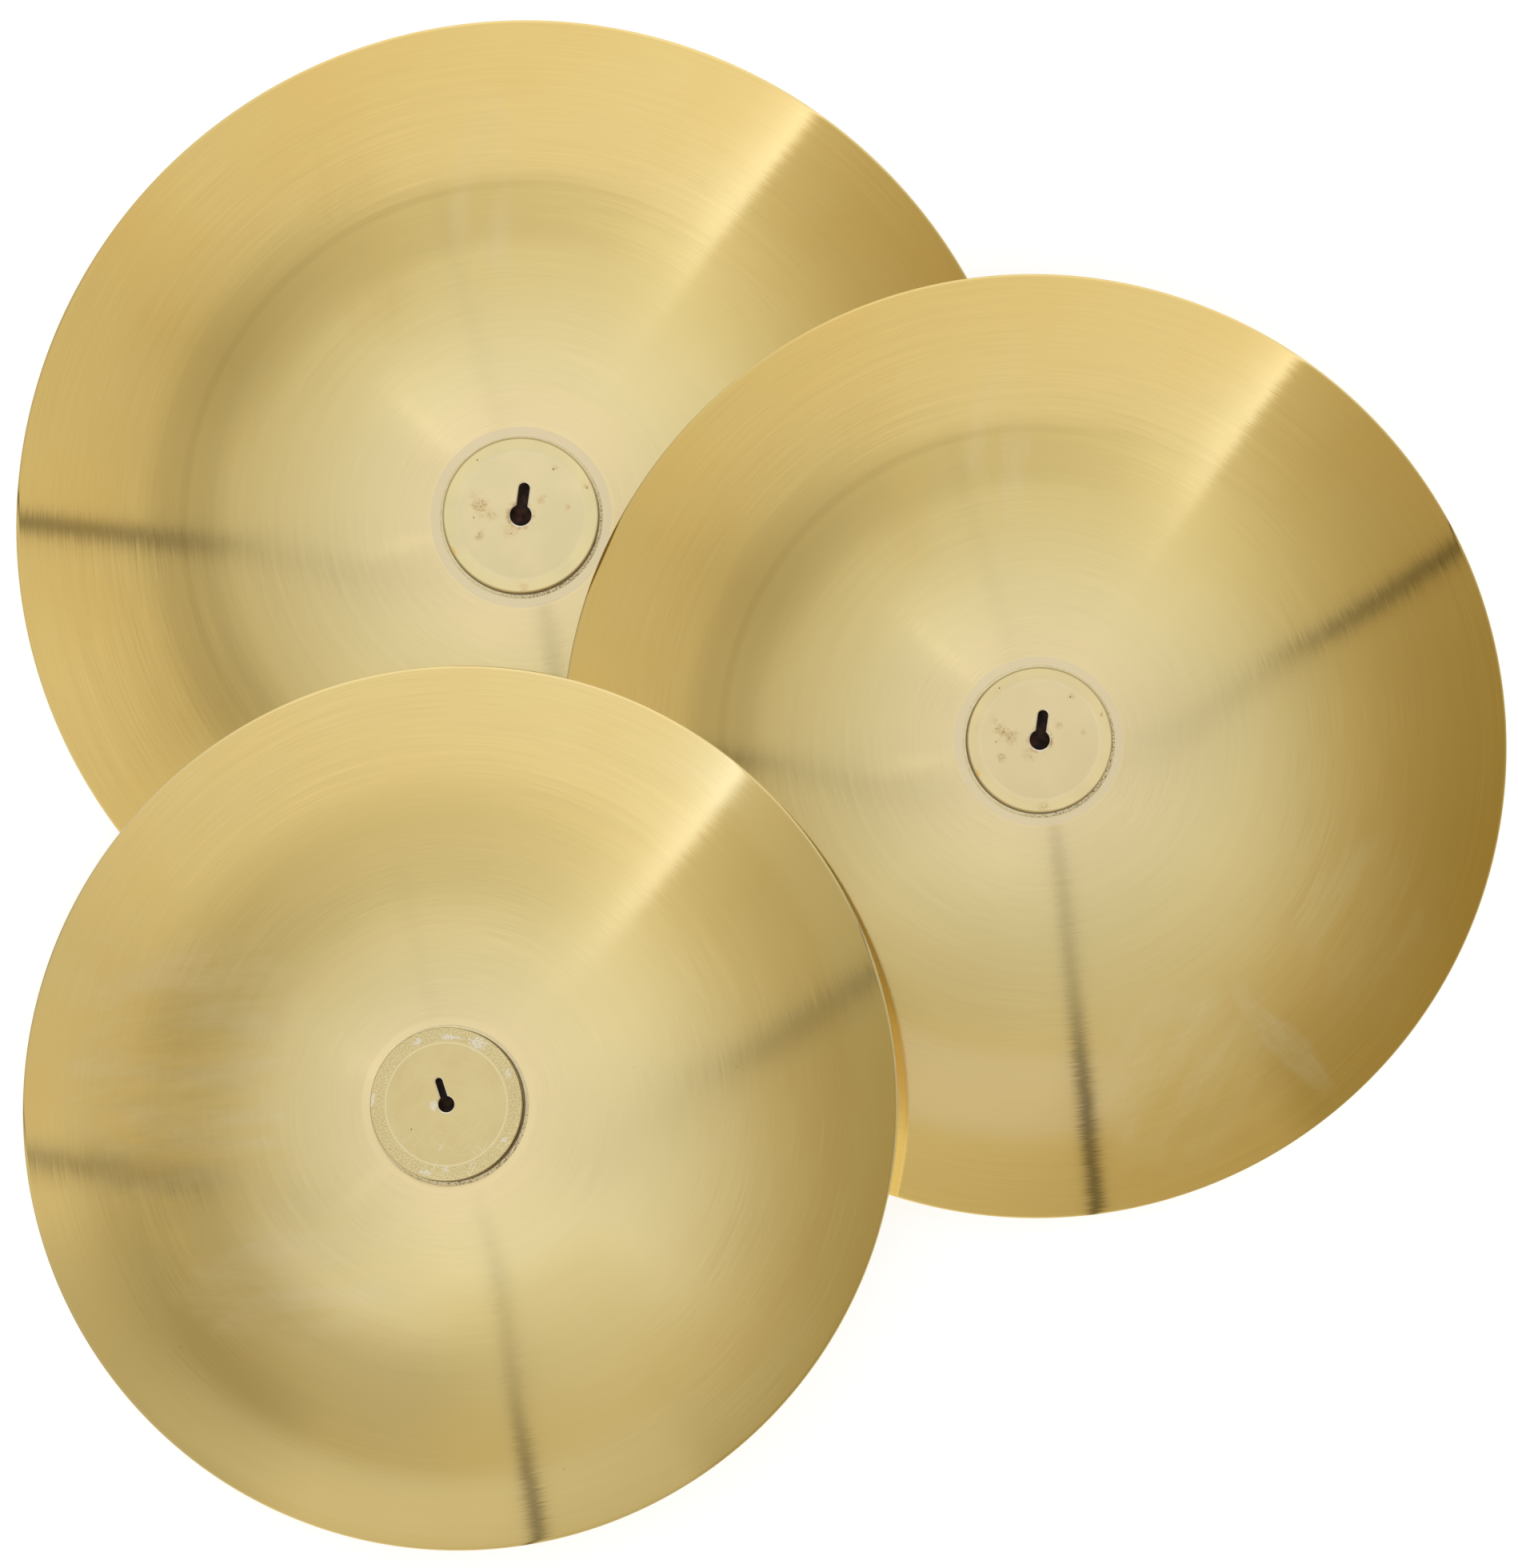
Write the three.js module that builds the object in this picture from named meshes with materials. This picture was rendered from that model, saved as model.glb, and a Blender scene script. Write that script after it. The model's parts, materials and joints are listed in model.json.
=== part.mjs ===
// A set of three spun-brass wall dishes, lying rim-down in an overlapping pile.
// Each dish is a shallow domed shell. On the crown of its back stand a spacer ring and a
// hanger plate with a keyhole, held by a small brazed bead. The large dish lies flat, the
// medium one leans on it, and the small one leans on both.
// Millimetres, +Z up, with the origin under the middle of the pile.

import * as THREE from 'three';

const SHEET = 1.0; // thickness of the spun sheet
const RIM_HEIGHT = 1.3; // the rim's outer edge, burnished square
const RIM_LAND = 1.0; // width of the flat that the rim rests on
const FIT_GAP = 0.3; // braze film between the pieces of one dish
const SPACER_HEIGHT = 6.0; // room for a screw head behind the hanger plate
const SPACER_INSET = 0.7; // how far the hanger plate overhangs its spacer
const SPACER_WALL = 5.2;
const PLATE_THICKNESS = 1.6;
const BEAD_WIDTH = 1.8;
const BEAD_HEIGHT = 1.2;
const ARC_STEPS = 8; // straight steps along a shell's domed profile
const BEAD_STEPS = 3; // straight steps across the bead's hollow face
const SHELL_SIDES = 64;
const HANGER_SIDES = 40;
const KEYHOLE_STEPS = 10; // straight steps round each arc of a keyhole

// tilt is how far a dish leans, and lowSide is the compass direction of its low edge, in
// degrees anticlockwise from +X. turn is the keyhole's lean, anticlockwise from +Y.
// centre is the middle of the rim's lower edge: x, y and height.
const DISHES = [
  {
    name: 'large',
    radius: 200,
    depth: 32,
    seatRadius: 35.5,
    plateRadius: 30.7,
    keyhole: { headRadius: 4.3, slotRadius: 2.2, reach: 10.7 },
    turn: -7.6,
    centre: [0, 0, 0],
    tilt: 0,
    lowSide: 0,
  },
  {
    name: 'medium',
    radius: 186,
    depth: 29.8,
    seatRadius: 33.0,
    plateRadius: 28.6,
    keyhole: { headRadius: 4.0, slotRadius: 2.05, reach: 9.8 },
    turn: -7.6,
    centre: [201.5, -89.4, 15.8],
    tilt: 4.78,
    lowSide: -23.7,
  },
  {
    name: 'small',
    radius: 174,
    depth: 27.8,
    seatRadius: 34.4,
    plateRadius: 30.2,
    keyhole: { headRadius: 3.25, slotRadius: 1.45, reach: 9.4 },
    turn: 17.6,
    centre: [-24.2, -232.5, 23.3],
    tilt: 7.6,
    lowSide: -159.4,
  },
];

const SHELL_BRASS = new THREE.MeshStandardMaterial({ color: 0xd8bd78, roughness: 0.32, metalness: 1 });
const PLATE_BRASS = new THREE.MeshStandardMaterial({ color: 0xe2d1a0, roughness: 0.45, metalness: 1 });
const SPACER_BRASS = new THREE.MeshStandardMaterial({ color: 0xb08d4c, roughness: 0.5, metalness: 1 });
const BRAZE = new THREE.MeshStandardMaterial({ color: 0x8c7442, roughness: 0.7, metalness: 1 });

// The dome is part of a sphere, whose highest point is depth above the rim's lower edge.
function domeOf(dish) {
  const rise = dish.depth - RIM_HEIGHT;
  const sphereRadius = (dish.radius ** 2 + rise ** 2) / (2 * rise);
  return { sphereRadius, centreHeight: dish.depth - sphereRadius };
}

function domeHeight(dish, inset, radius) {
  const { sphereRadius, centreHeight } = domeOf(dish);
  return centreHeight + Math.sqrt((sphereRadius - inset) ** 2 - radius ** 2);
}

function seatHeight(dish) {
  return domeHeight(dish, 0, dish.seatRadius);
}

function domePoints(dish, inset, fromRadius, toRadius) {
  const points = [];
  for (let step = 0; step <= ARC_STEPS; step += 1) {
    const radius = THREE.MathUtils.lerp(fromRadius, toRadius, step / ARC_STEPS);
    points.push(new THREE.Vector2(radius, domeHeight(dish, inset, radius)));
  }
  return points;
}

function lathe(points, sides) {
  return new THREE.LatheGeometry(points, sides).rotateX(Math.PI / 2);
}

// A domed sheet with a flat seat at its crown and a flat land under its rim.
function shellGeometry(dish) {
  const seat = seatHeight(dish);
  const landRadius = dish.radius - RIM_LAND;
  const profile = [
    new THREE.Vector2(0, seat - SHEET),
    ...domePoints(dish, SHEET, dish.seatRadius, landRadius),
    new THREE.Vector2(landRadius, 0),
    new THREE.Vector2(dish.radius, 0),
    ...domePoints(dish, 0, dish.radius, dish.seatRadius),
    new THREE.Vector2(0, seat),
  ];
  return lathe(profile, SHELL_SIDES);
}

function spacerGeometry(dish) {
  const outer = dish.plateRadius - SPACER_INSET;
  const inner = outer - SPACER_WALL;
  const profile = [
    new THREE.Vector2(inner, 0),
    new THREE.Vector2(outer, 0),
    new THREE.Vector2(outer, SPACER_HEIGHT),
    new THREE.Vector2(inner, SPACER_HEIGHT),
    new THREE.Vector2(inner, 0),
  ];
  return lathe(profile, HANGER_SIDES);
}

// The bead fills the corner at the foot of the spacer, with a hollow quarter-round face.
function beadGeometry(dish) {
  const foot = dish.plateRadius - SPACER_INSET + FIT_GAP;
  const profile = [new THREE.Vector2(foot, 0)];
  for (let step = 0; step <= BEAD_STEPS; step += 1) {
    const angle = (step / BEAD_STEPS) * (Math.PI / 2);
    const radius = foot + BEAD_WIDTH * (1 - Math.sin(angle));
    const height = BEAD_HEIGHT * (1 - Math.cos(angle));
    profile.push(new THREE.Vector2(radius, height));
  }
  profile.push(profile[0].clone());
  return lathe(profile, HANGER_SIDES);
}

// A round hole that passes a screw's head, and a narrower slot that holds its shank.
function keyholePath({ headRadius, slotRadius, reach }) {
  const mouth = Math.asin(slotRadius / headRadius);
  const path = new THREE.Path();
  path.absarc(0, 0, headRadius, Math.PI / 2 + mouth, 2.5 * Math.PI - mouth, false);
  path.absarc(0, reach, slotRadius, 0, Math.PI, false);
  path.closePath();
  return path;
}

function plateGeometry(dish) {
  const outline = new THREE.Shape();
  outline.absarc(0, 0, dish.plateRadius, 0, 2 * Math.PI, false);
  const disc = new THREE.Shape(outline.getSpacedPoints(HANGER_SIDES).slice(0, HANGER_SIDES));
  const hole = new THREE.Path(keyholePath(dish.keyhole).getPoints(KEYHOLE_STEPS));
  disc.holes.push(hole);
  const plate = new THREE.ExtrudeGeometry(disc, { depth: PLATE_THICKNESS, bevelEnabled: false });
  return plate.rotateZ(THREE.MathUtils.degToRad(dish.turn));
}

function part(name, geometry, material, height) {
  const mesh = new THREE.Mesh(geometry, material);
  mesh.name = name;
  mesh.position.z = height;
  return mesh;
}

function buildDish(dish) {
  const ringFoot = seatHeight(dish) + FIT_GAP;
  const plateFoot = ringFoot + SPACER_HEIGHT + FIT_GAP;
  const group = new THREE.Group();
  group.add(
    part(`${dish.name}_dish_shell`, shellGeometry(dish), SHELL_BRASS, 0),
    part(`${dish.name}_spacer_ring`, spacerGeometry(dish), SPACER_BRASS, ringFoot),
    part(`${dish.name}_brazed_bead`, beadGeometry(dish), BRAZE, ringFoot),
    part(`${dish.name}_hanger_plate`, plateGeometry(dish), PLATE_BRASS, plateFoot),
  );
  leanOver(group, dish);
  return group;
}

// Tips the dish towards its low side, about a level axis at right angles to it.
function leanOver(group, dish) {
  const towards = THREE.MathUtils.degToRad(dish.lowSide);
  const tippingAxis = new THREE.Vector3(-Math.sin(towards), Math.cos(towards), 0);
  group.setRotationFromAxisAngle(tippingAxis, THREE.MathUtils.degToRad(dish.tilt));
  group.position.set(...dish.centre);
}

function buildPile() {
  const pile = new THREE.Group();
  DISHES.forEach((dish) => pile.add(buildDish(dish)));
  const middle = new THREE.Box3().setFromObject(pile, true).getCenter(new THREE.Vector3());
  pile.position.set(-middle.x, -middle.y, 0);
  return pile;
}

export default buildPile();
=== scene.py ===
"""Three spun-brass wall dishes in a pile, seen from above: the looks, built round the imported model."""

import json
import math

import bmesh
import bpy
from mathutils import Matrix, Quaternion, Vector


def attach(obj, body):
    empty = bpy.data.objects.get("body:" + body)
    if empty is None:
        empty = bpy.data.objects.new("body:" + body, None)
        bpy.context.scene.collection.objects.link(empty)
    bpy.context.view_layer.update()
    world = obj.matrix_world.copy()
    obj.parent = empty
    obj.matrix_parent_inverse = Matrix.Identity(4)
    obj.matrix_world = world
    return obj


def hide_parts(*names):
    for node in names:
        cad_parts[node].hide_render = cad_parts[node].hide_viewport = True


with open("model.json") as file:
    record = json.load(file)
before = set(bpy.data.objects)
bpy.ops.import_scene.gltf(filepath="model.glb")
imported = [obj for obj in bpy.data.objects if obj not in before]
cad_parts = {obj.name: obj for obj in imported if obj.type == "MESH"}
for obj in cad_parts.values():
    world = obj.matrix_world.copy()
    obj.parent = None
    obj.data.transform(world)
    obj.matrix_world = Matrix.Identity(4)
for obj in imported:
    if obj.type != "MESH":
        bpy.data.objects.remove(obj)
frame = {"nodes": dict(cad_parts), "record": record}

MM = 0.001  # every length below is in metres

# Camera: a long lens, nearly straight overhead.
CAMERA_DISTANCE = 20.0
CAMERA_LEAN = math.radians(5.8)  # away from straight overhead
CAMERA_SIDE = math.radians(-75)  # the side that it leans to, anticlockwise from +X
VIEW_HEIGHT = 0.6170  # what the picture's height spans at the table
CAMERA_TARGET = (-0.83 * MM, 0.6 * MM, 0.0)
SENSOR = 36.0  # millimetres, as Blender has it

# Spun shell, as in the CAD model.
SHEET = 1.0 * MM
RIM_HEIGHT = 1.3 * MM
RIM_LAND = 1.0 * MM
RIM_ROUND = 0.25 * MM
SHELL_SIDES = 256
OUTER_STEPS = 150
INNER_STEPS = 60

# Hanger plate and the pieces under it, as in the CAD model.
PLATE_THICKNESS = 1.6 * MM
PLATE_CHAMFER = 0.2 * MM
WITNESS_SHARE = 0.82  # of the plate's radius, where a shallow turned ring is
SPACER_INSET = 0.7 * MM
SPACER_WALL = 5.2 * MM
SPACER_CHAMFER = 0.15 * MM
FIT_GAP = 0.3 * MM
BEAD_WIDTH = 1.8 * MM
BEAD_HEIGHT = 1.2 * MM
BEAD_STEPS = 5
PLATE_SIDES = 160
KEYHOLE_CHAMFER = 0.2 * MM  # its depth
KEYHOLE_FLARE = 2.0  # how wide that chamfer is, for its depth

# Tints of the shell.
SHELL_TONES = [  # by share of the radius, up to the rim's own tint
    (0.20, (0.845, 0.715, 0.410)),
    (0.32, (0.865, 0.74, 0.395)),
    (0.47, (0.90, 0.76, 0.38)),
    (0.70, (0.90, 0.73, 0.34)),
]
CLOUD_TINT = (0.93, 0.66, 0.23)
SEAT_TINT = (0.765, 0.67, 0.45)
# Painted shade of a thin turned line, drawn on one side only.
LINE_SHADE_TINT = (0.55, 0.42, 0.17)
PIT_TINT = (0.25, 0.17, 0.06)
UNDERSIDE_TINT = (0.94, 0.83, 0.54)
POCKET_TINTS = [(0.4, (0.028, 0.013, 0.008)), (0.7, (0.16, 0.055, 0.02))]
GRAIN_CONTRAST = 0.36

# Tints of the plates. Each list is from the darkest to the lightest of a mottle.
CLEANED_INNER = [(0.35, (0.955, 0.83, 0.515)), (0.65, (0.985, 0.865, 0.55))]
CLEANED_OUTER = [(0.35, (0.97, 0.84, 0.475)), (0.65, (0.99, 0.865, 0.53))]
CLEANED_RING = (1.0, 0.92, 0.64)
TURNED_INNER = [(0.38, (0.83, 0.70, 0.36)), (0.62, (0.93, 0.81, 0.45))]
TURNED_OUTER = [(0.40, (0.72, 0.62, 0.31)), (0.60, (0.97, 0.85, 0.50))]
TURNED_RING = (1.0, 0.93, 0.60)
# A thin dark line round the plate's edge.
PLATE_EDGE_LINE_TINT = (0.42, 0.30, 0.10)
STAIN_TINT = (0.52, 0.32, 0.11)
AMBER_TINT = (0.95, 0.62, 0.10)
FLUX_TINT = (0.80, 0.75, 0.66)
SCRATCH_TINT = (1.0, 0.94, 0.72)
KEYHOLE_RUST = (0.46, 0.23, 0.07)
# Painted highlight on the keyhole's chamfer.
KEYHOLE_PAINTED_HIGHLIGHT = (1.0, 0.96, 0.82)
KEYHOLE_WALL = (0.14, 0.045, 0.014)
EDGE_BEVEL = (0.46, 0.33, 0.12)
EDGE_WALL = (0.72, 0.58, 0.29)
RUST = (0.55, 0.28, 0.06)
SOOT = (0.12, 0.09, 0.06)
BLACK_DOT = (0.08, 0.05, 0.03)

# Tints of the spacer and the bead.
SPACER_TINTS = [(0.35, (0.42, 0.31, 0.12)), (0.65, (0.70, 0.56, 0.28))]
BRAZE_TINTS = [(0.35, (0.86, 0.75, 0.45)), (0.65, (0.95, 0.86, 0.56))]
# Painted shadow of the plate's edge on the bead.
PLATE_SHADOW_TINT = (0.10, 0.06, 0.02)
BURNT_TINT = (0.22, 0.13, 0.05)

# Wiped patches: the middle and the size as shares of the dish's radius, the patch's turn and the
# way the wiping went in degrees, and the tint with its strength.
UPRIGHT_WIPES = [
    {"centre": (-0.08, 0.62), "size": (0.16, 0.60), "turn": 0, "along": 90,
     "tint": (0.93, 0.80, 0.52), "strength": 0.30},
    {"centre": (-0.32, 0.55), "size": (0.22, 0.50), "turn": 14, "along": 100,
     "tint": (0.86, 0.66, 0.26), "strength": 0.40},
]
CORNER_WIPES = [
    {"centre": (0.53, -0.63), "size": (0.36, 0.085), "turn": -46, "along": -46,
     "tint": (0.97, 0.89, 0.64), "strength": 0.85},
    {"centre": (0.30, -0.70), "size": (0.60, 0.38), "turn": 20, "along": 60,
     "tint": (0.98, 0.86, 0.54), "strength": 0.50},
    {"centre": (0.70, -0.38), "size": (0.36, 0.50), "turn": -30, "along": 60,
     "tint": (0.98, 0.86, 0.52), "strength": 0.50},
]
LEVEL_WIPES = [
    {"centre": (-0.62, 0.10), "size": (0.72, 0.75), "turn": 0, "along": 5,
     "tint": (0.94, 0.83, 0.58), "strength": 0.42},
    {"centre": (-0.35, -0.38), "size": (0.60, 0.35), "turn": 10, "along": 5,
     "tint": (0.94, 0.83, 0.58), "strength": 0.36},
    {"centre": (-0.60, -0.02), "size": (0.65, 0.60), "turn": 0, "along": 0,
     "tint": (0.92, 0.70, 0.26), "strength": 0.50},
]

# Zones of painted reflection and shade, where the metal is drawn duller or paler for tones that the
# tent alone doesn't give: shares of the radius from and to, how softly they end, the side they are
# strongest on and how far round they reach, in degrees.
OLIVE_PAINTED_SHADE = (0.58, 0.47, 0.20)
PALE_PAINTED_SHEEN = (1.0, 0.88, 0.50)
YELLOW_PAINTED_REFLECTION = (0.80, 0.61, 0.19)
CREAM_PAINTED_SHEEN = (0.96, 0.82, 0.52)
# Painted reflections and shade on the large and medium dishes.
SHARED_PAINTED_REFLECTIONS = [
    {"reach": (0.63, 0.70), "soft": 0.07, "side": 180, "half_width": 75, "tint": OLIVE_PAINTED_SHADE, "strength": 0.42},
    {"reach": (0.58, 0.655), "soft": 0.06, "side": 118, "half_width": 55, "tint": OLIVE_PAINTED_SHADE, "strength": 0.34},
    {"reach": (0.50, 0.56), "soft": 0.20, "side": 100, "half_width": 95, "tint": YELLOW_PAINTED_REFLECTION, "strength": 0.22},
    {"reach": (0.60, 0.76), "soft": 0.16, "side": 20, "half_width": 45, "tint": YELLOW_PAINTED_REFLECTION, "strength": 0.22},
    {"reach": (0.70, 0.80), "soft": 0.07, "side": 262, "half_width": 28, "tint": CREAM_PAINTED_SHEEN, "strength": 0.60},
]
# Painted reflections and shade on the small dish.
SMALL_PAINTED_REFLECTIONS = [
    {"reach": (0.54, 0.64), "soft": 0.17, "side": 130, "half_width": 95, "tint": OLIVE_PAINTED_SHADE, "strength": 0.42},
    {"reach": (0.62, 0.80), "soft": 0.14, "side": 228, "half_width": 75, "tint": OLIVE_PAINTED_SHADE, "strength": 0.44},
    {"reach": (0.80, 0.99), "soft": 0.14, "side": 220, "half_width": 30, "tint": OLIVE_PAINTED_SHADE, "strength": 0.72},
    {"reach": (0.45, 1.10), "soft": 0.25, "side": 335, "half_width": 75, "tint": PALE_PAINTED_SHEEN, "strength": 0.40},
    {"reach": (0.94, 1.10), "soft": 0.07, "side": 345, "half_width": 80, "tint": PALE_PAINTED_SHEEN, "strength": 0.90},
    {"reach": (0.88, 0.95), "soft": 0.08, "side": 268, "half_width": 55, "tint": PALE_PAINTED_SHEEN, "strength": 0.45},
    {"reach": (0.48, 0.76), "soft": 0.12, "side": 292, "half_width": 34, "tint": YELLOW_PAINTED_REFLECTION, "strength": 0.30},
]

# What differs from dish to dish, with angles in degrees. keyhole is the radius of its round end,
# the slot's radius and the slot's reach from the round end's middle, and turn is its turn
# anticlockwise from +Y. hang is how far and to which side the dish leans in the light. polish is
# the roughness of the smoothest and the roughest grain.
DISHES = {
    "large": {
        "keyhole": (4.3 * MM, 2.2 * MM, 10.7 * MM), "turn": -7.6, "rust": 1.0, "turned_plate": False,
        "hang": (0.0, 0), "polish": (0.08, 0.12), "rim_tint": (0.90, 0.715, 0.31), "lightness": 1.06,
        "grey_seat": True, "burnt_side": -40, "wipes": UPRIGHT_WIPES, "painted_reflections": SHARED_PAINTED_REFLECTIONS,
    },
    "medium": {
        "keyhole": (4.0 * MM, 2.05 * MM, 9.8 * MM), "turn": -7.6, "rust": 0.9, "turned_plate": False,
        "hang": (0.0, 0), "polish": (0.08, 0.12), "rim_tint": (0.90, 0.71, 0.30), "lightness": 1.0,
        "grey_seat": True, "burnt_side": -35, "wipes": UPRIGHT_WIPES + CORNER_WIPES, "painted_reflections": SHARED_PAINTED_REFLECTIONS,
    },
    "small": {
        "keyhole": (3.25 * MM, 1.45 * MM, 9.4 * MM), "turn": 17.6, "rust": 0.1, "turned_plate": True,
        "hang": (2.6, 288), "polish": (0.09, 0.13), "rim_tint": (0.90, 0.745, 0.37), "lightness": 1.04,
        "grey_seat": False, "burnt_side": -65, "wipes": LEVEL_WIPES, "painted_reflections": SMALL_PAINTED_REFLECTIONS,
    },
}

# Marks on the plates, as shares of the plate's radius.
PLATE_STAINS = [  # brown freckles: x, y, reach, strength
    (-0.52, 0.12, 0.15, 0.9), (-0.40, 0.02, 0.14, 0.6), (-0.52, -0.26, 0.09, 0.9), (-0.62, 0.28, 0.08, 0.4),
    (0.26, 0.20, 0.08, 0.5), (0.60, 0.11, 0.06, 0.6), (0.44, 0.60, 0.06, 0.5), (-0.15, -0.20, 0.14, 0.4),
    (0.05, -0.93, 0.10, 0.6), (0.84, 0.36, 0.05, 0.8),
]
PLATE_DOTS = [  # x, y, reach, tint
    (-0.60, -0.03, 0.014, RUST), (-0.555, 0.71, 0.012, SOOT), (0.42, 0.59, 0.014, SOOT),
    (0.85, 0.345, 0.012, RUST), (-0.12, -0.24, 0.010, RUST),
]
FLUX_BLOTCHES = [  # whitish, on the turned plate: degrees round it, reach, length, width
    (114, 0.90, 0.12, 0.07), (87, 0.87, 0.24, 0.06), (62, 0.88, 0.20, 0.16), (26, 0.90, 0.10, 0.08),
    (176, 0.97, 0.16, 0.05), (-32, 0.89, 0.09, 0.06), (-91, 0.84, 0.08, 0.07), (-107, 0.93, 0.14, 0.06),
    (188, 0.17, 0.12, 0.09),
]

# The floor, which glows so that it is as white as the backdrop.
FLOOR_HALF = 40.0
FLOOR_GREY = (0.40, 0.40, 0.40, 1)
FLOOR_GLOW = 0.70

# The light tent. Its walls are given as (degrees round, level), from 0 to 360.
TENT_STRENGTH = 1.05
SURROUND_TINT = (1.0, 0.985, 0.955)
SURROUND = [
    (0, 0.55), (35, 0.50), (70, 1.00), (110, 0.95), (150, 0.45), (190, 0.60), (235, 1.00), (270, 0.85),
    (300, 0.42), (360, 0.55),
]
# How bright the tent is, by the angle from its middle and then by the side. The levels are
# brightnesses measured on the real dishes' reflections, thinned out and rounded.
TENT_RINGS = [
    (4, [(0, 0.84), (90, 0.88), (180, 0.87), (270, 0.88), (360, 0.84)]),
    (9, [(0, 0.72), (50, 0.82), (100, 0.83), (128, 0.95), (150, 0.77), (210, 0.77), (255, 0.84),
         (285, 0.76), (320, 0.77), (360, 0.74)]),
    (16, [(0, 0.67), (20, 0.66), (45, 0.78), (60, 0.77), (105, 0.68), (120, 0.66), (150, 0.67),
          (195, 0.57), (225, 0.66), (255, 0.56), (300, 0.62), (330, 0.71), (360, 0.67)]),
    (21.5, [(0, 0.55), (20, 0.53), (51, 0.77), (58.5, 0.87), (64, 0.82), (75, 0.72), (105, 0.70),
            (120, 0.60), (150, 0.54), (195, 0.50), (212, 0.48), (255, 0.56), (270, 0.60), (315, 0.62),
            (345, 0.55), (360, 0.55)]),
    (25.5, [(0, 0.42), (15, 0.43), (46, 0.56), (56.4, 0.64), (58.9, 0.98), (64, 0.87), (73, 0.79),
            (105, 0.76), (120, 0.68), (150, 0.46), (165, 0.52), (195, 0.52), (210, 0.44), (255, 0.66),
            (270, 0.67), (300, 0.54), (345, 0.42), (360, 0.42)]),
    (31, [(0, 0.31), (15, 0.33), (46, 0.46), (56.3, 0.56), (57.4, 1.00), (60.5, 0.88), (69, 0.82),
          (105, 0.75), (135, 0.68), (150, 0.61), (165, 0.62), (195, 0.69), (210, 0.66), (255, 0.57),
          (285, 0.48), (303, 0.45), (309, 0.34), (345, 0.29), (360, 0.31)]),
]
# The colour of the light at each level: warmer where it is dimmer, and paler near the middle.
OUTER_TINT = [
    (0.30, (0.30, 0.225, 0.085)),
    (0.50, (0.50, 0.43, 0.28)),
    (0.75, (0.75, 0.69, 0.57)),
    (0.88, (0.88, 0.85, 0.80)),
    (1.00, (1.00, 1.00, 1.00)),
]
INNER_TINT = [
    (0.50, (0.50, 0.465, 0.41)),
    (0.75, (0.75, 0.73, 0.70)),
    (0.86, (0.885, 0.855, 0.82)),
    (1.00, (1.00, 1.00, 1.00)),
]
STREAK_SIDE = 57.6  # where a wall's bright edge is
STREAK_GLOW = 0.09  # how much it adds
STREAK_TINT = (1.0, 1.1, 1.9)
LAMPS = [(135, 9.8, 0.40), (190, 8.6, 0.32)]  # small lamps: side, lean from the middle, strength
LAMP_SIZE = math.radians(0.9)
SEAM_WIDTH = 1.05  # degrees across, from a seam's middle to where it ends
SEAM_INNER_DEPTH = 0.34  # how dark the seams are near the middle, as a share
SEAM_TINT = (0.02, 0.015, 0.01)
SEAMS = [(34.6, 0.96, 90), (105, 0.14, 20), (169.8, 0.94, 90), (276.7, 0.92, 90)]  # side, depth, end


# ---------------------------------------------------------------- shader helpers

def put(tree, socket, value):
    """Links value to socket if it is an output, or else sets it."""
    if isinstance(value, bpy.types.NodeSocket):
        tree.links.new(value, socket)
    else:
        socket.default_value = value


def node(tree, kind, inputs=None, **settings):
    made = tree.nodes.new(kind)
    for name, value in settings.items():
        setattr(made, name, value)
    for name, value in (inputs or {}).items():
        put(tree, made.inputs[name], value)
    return made


def calc(tree, operation, *values, clamp=False):
    inputs = dict(enumerate(values))
    return node(tree, "ShaderNodeMath", inputs, operation=operation, use_clamp=clamp).outputs[0]


def vector_of(tree, x, y, z):
    return node(tree, "ShaderNodeCombineXYZ", {"X": x, "Y": y, "Z": z}).outputs[0]


def smooth_step(tree, value, low, high):
    """0 below low and 1 above high, with a smooth rise. high may be the smaller of the two."""
    inputs = {"Value": value, "From Min": low, "From Max": high}
    return node(tree, "ShaderNodeMapRange", inputs, interpolation_type="SMOOTHSTEP").outputs[0]


def mix(tree, factor, first, second, blend="MIX"):
    """first where factor is 0 and second where it is 1. Either may be a fixed (r, g, b)."""
    made = node(tree, "ShaderNodeMix", data_type="RGBA", blend_type=blend)
    put(tree, made.inputs[0], factor)
    for index, value in ((6, first), (7, second)):
        put(tree, made.inputs[index], (*value, 1.0) if isinstance(value, tuple) else value)
    return made.outputs[2]


def ramp(tree, factor, stops):
    """A colour ramp. stops is a list of (place, colour)."""
    made = node(tree, "ShaderNodeValToRGB", {"Fac": factor})
    elements = made.color_ramp.elements
    while len(elements) < len(stops):
        elements.new(1.0)
    for element, (place, colour) in zip(elements, stops):
        element.position = place
        element.color = (*colour, 1.0)
    return made.outputs[0]


def noise_of(tree, vector, scale, detail=2.0, roughness=0.5):
    inputs = {"Vector": vector, "Scale": scale, "Detail": detail, "Roughness": roughness}
    return node(tree, "ShaderNodeTexNoise", inputs).outputs["Fac"]


def polar(tree, places):
    """(distance from the dish's axis, angle round it) of a point."""
    split = node(tree, "ShaderNodeSeparateXYZ", {"Vector": places})
    x, y = split.outputs["X"], split.outputs["Y"]
    squares = calc(tree, "ADD", calc(tree, "MULTIPLY", x, x), calc(tree, "MULTIPLY", y, y))
    return calc(tree, "SQRT", squares), calc(tree, "ARCTAN2", y, x)


def axis_of(tree, vector, axis):
    """One coordinate of a vector: "X", "Y" or "Z"."""
    return node(tree, "ShaderNodeSeparateXYZ", {"Vector": vector}).outputs[axis]


def facing(tree, angle, degrees):
    """1 on the side at degrees, falling to 0 a quarter turn away and -1 opposite it."""
    return calc(tree, "COSINE", calc(tree, "SUBTRACT", angle, math.radians(degrees)))


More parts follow.
